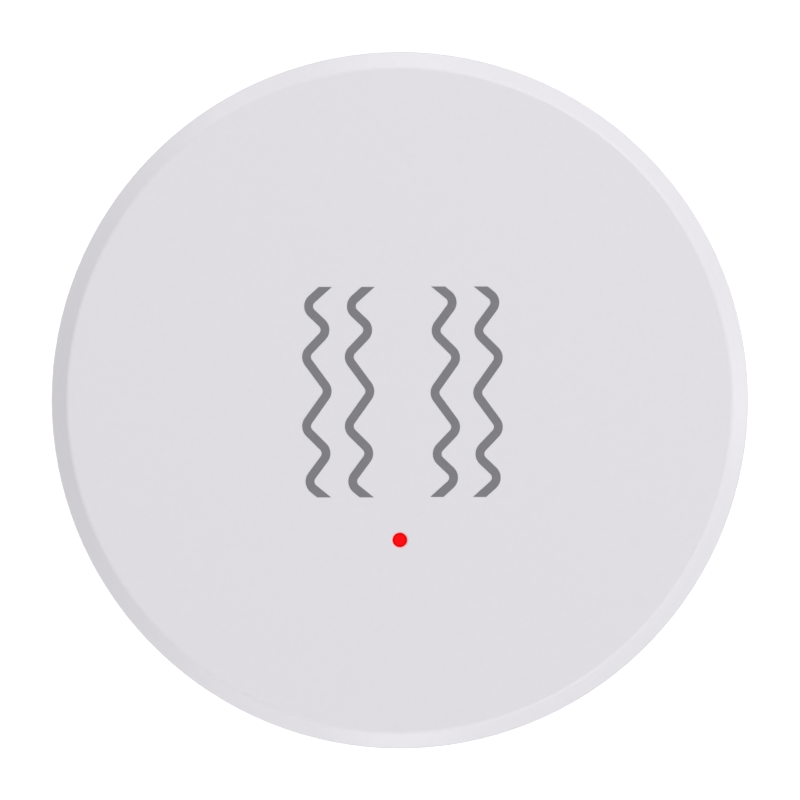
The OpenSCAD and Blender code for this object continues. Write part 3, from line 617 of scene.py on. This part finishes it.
def lay_solder():
    """Solder at every joint: one round pool, copied to each place."""
    tool = bmesh.new()
    middle = tool.verts.new((0, 0, 0))
    rim = tool.verts.new((1, 0, 0))
    tool.edges.new((middle, rim))
    bmesh.ops.spin(tool, geom=[rim], cent=(0, 0, 0), axis=(0, -1, 0), angle=math.pi / 2,
                   steps=POOL_RINGS)
    bmesh.ops.spin(tool, geom=[*tool.verts, *tool.edges], cent=(0, 0, 0), axis=(0, 0, 1),
                   angle=2 * math.pi, steps=POOL_SIDES, use_merge=True)
    bmesh.ops.remove_doubles(tool, verts=tool.verts, dist=POOL_WELD)
    pool = whole(tool)
    pool_corners = tool.verts[:]
    for place, level, reach in soldered_places():
        copies = bmesh.ops.duplicate(tool, geom=pool)["geom"]
        move = Matrix.Translation((place.x, place.y, level)) @ Matrix.Diagonal((*reach, 1.0))
        bmesh.ops.transform(tool, matrix=move, verts=corners_in(copies))
    bmesh.ops.delete(tool, geom=pool_corners, context="VERTS")
    bmesh.ops.recalc_face_normals(tool, faces=tool.faces)
    add_piece("solder_joints", tool, SOLDER_METAL, "case")


def mark_cell():
    """The plus sign on the cell's can, on the side that faces the door."""
    tool = bmesh.new()
    bmesh.ops.create_grid(tool, x_segments=1, y_segments=1, size=PLUS_WIDTH / 2)
    for edge in tool.edges[:]:
        outward = (edge.verts[0].co + edge.verts[1].co).normalized()
        pull(tool, edge, outward * PLUS_ARM)
    bmesh.ops.translate(tool, verts=tool.verts, vec=(0, 0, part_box("cell_can")[0].z))
    thicken(tool, tool.faces[:], -PLUS_DEPTH)
    add_piece("cell_plus", tool, STAMPED, "case")


def aim(thing, target):
    """Turns a camera or light to look at a point."""
    thing.rotation_euler = (target - thing.location).to_track_quat("-Z", "Y").to_euler()


def add_soft_box(name, bearing, height, distance, size, power):
    """An area light round the object, out of the camera's sight."""
    lamp = bpy.data.lights.new(name, "AREA")
    lamp.shape = "RECTANGLE"
    lamp.size, lamp.size_y = size
    lamp.energy = power
    box = bpy.data.objects.new(name, lamp)
    turn, rise = math.radians(bearing), math.radians(height)
    box.location = distance * Vector((math.cos(turn) * math.cos(rise),
                                      math.sin(turn) * math.cos(rise), math.sin(rise)))
    aim(box, Vector((0, 0, FACE_Z / 2)))
    box.visible_camera = False
    bpy.context.scene.collection.objects.link(box)


def floor_finish():
    """Pale paper with a glow of its own, clear from below so that the back can be seen."""
    finish, tree, shader, place = new_finish("pale_floor")
    tint(tree, shader, cloud(tree, place, size_mm=400.0),
         [(0.3, (0.59, 0.59, 0.59)), (0.7, (0.61, 0.61, 0.61))])
    shader.inputs["Roughness"].default_value = 0.9
    shader.inputs["Emission Color"].default_value = (1.0, 1.0, 1.0, 1.0)
    shader.inputs["Emission Strength"].default_value = FLOOR_GLOW
    side = tree.nodes.new("ShaderNodeNewGeometry").outputs["Backfacing"]
    clear = tree.nodes.new("ShaderNodeBsdfTransparent")
    choice = tree.nodes.new("ShaderNodeMixShader")
    tree.links.new(side, choice.inputs["Fac"])
    tree.links.new(shader.outputs["BSDF"], choice.inputs[1])
    tree.links.new(clear.outputs["BSDF"], choice.inputs[2])
    output = next(node for node in tree.nodes if node.type == "OUTPUT_MATERIAL")
    tree.links.new(choice.outputs["Shader"], output.inputs["Surface"])
    return finish


def lay_floor():
    """A pale floor that curves up all round, with its faces turned up and in."""
    tool = bmesh.new()
    middle = tool.verts.new((0, 0, -FLOOR_DROP))
    foot = tool.verts.new((FLOOR_REACH, 0, -FLOOR_DROP))
    tool.edges.new((middle, foot))
    bmesh.ops.spin(tool, geom=[foot], cent=(FLOOR_REACH, 0, FLOOR_BEND - FLOOR_DROP),
                   axis=(0, 1, 0), angle=-math.pi / 2, steps=FLOOR_RINGS)
    bmesh.ops.spin(tool, geom=[*tool.verts, *tool.edges], cent=(0, 0, 0), axis=(0, 0, 1),
                   angle=2 * math.pi, steps=FLOOR_SIDES, use_merge=True)
    bmesh.ops.remove_doubles(tool, verts=tool.verts, dist=FLOOR_WELD)
    bmesh.ops.recalc_face_normals(tool, faces=tool.faces)
    if min(tool.faces, key=lambda face: face.calc_center_median().length).normal.z < 0:
        bmesh.ops.reverse_faces(tool, faces=tool.faces)
    mesh = bpy.data.meshes.new("floor")
    tool.to_mesh(mesh)
    tool.free()
    mesh.materials.append(floor_finish())
    floor = bpy.data.objects.new("floor", mesh)
    floor.visible_diffuse = False
    floor.visible_glossy = False
    floor.visible_shadow = False
    bpy.context.scene.collection.objects.link(floor)


def light_room():
    """Even grey light from all round, and the soft boxes."""
    world = bpy.data.worlds.new("studio")
    world.use_nodes = True
    glow = world.node_tree.nodes["Background"]
    glow.inputs["Color"].default_value = (1.0, 1.0, 1.0, 1.0)
    glow.inputs["Strength"].default_value = ROOM_LIGHT
    bpy.context.scene.world = world
    bpy.context.scene.view_settings.view_transform = "Standard"
    for name, box in SOFT_BOXES.items():
        add_soft_box(name, *box)


def set_camera():
    """Looks straight down on the face with the sign upright."""
    lens = bpy.data.cameras.new("camera")
    lens.lens = LENS_MM
    lens.sensor_width = SENSOR_MM
    camera = bpy.data.objects.new("camera", lens)
    distance = HALF_PICTURE / (SENSOR_MM / 2 / LENS_MM)
    camera.location = (AIM_X, AIM_Y, RIM_Z + distance)
    bpy.context.scene.collection.objects.link(camera)
    bpy.context.scene.camera = camera


set_camera()
dress_solids()
print_sign()
lay_foam_pad()
lay_aerial()
lay_tracks()
print_board()
lay_solder()
mark_cell()
lay_floor()
light_room()

bpy.context.view_layer.update()
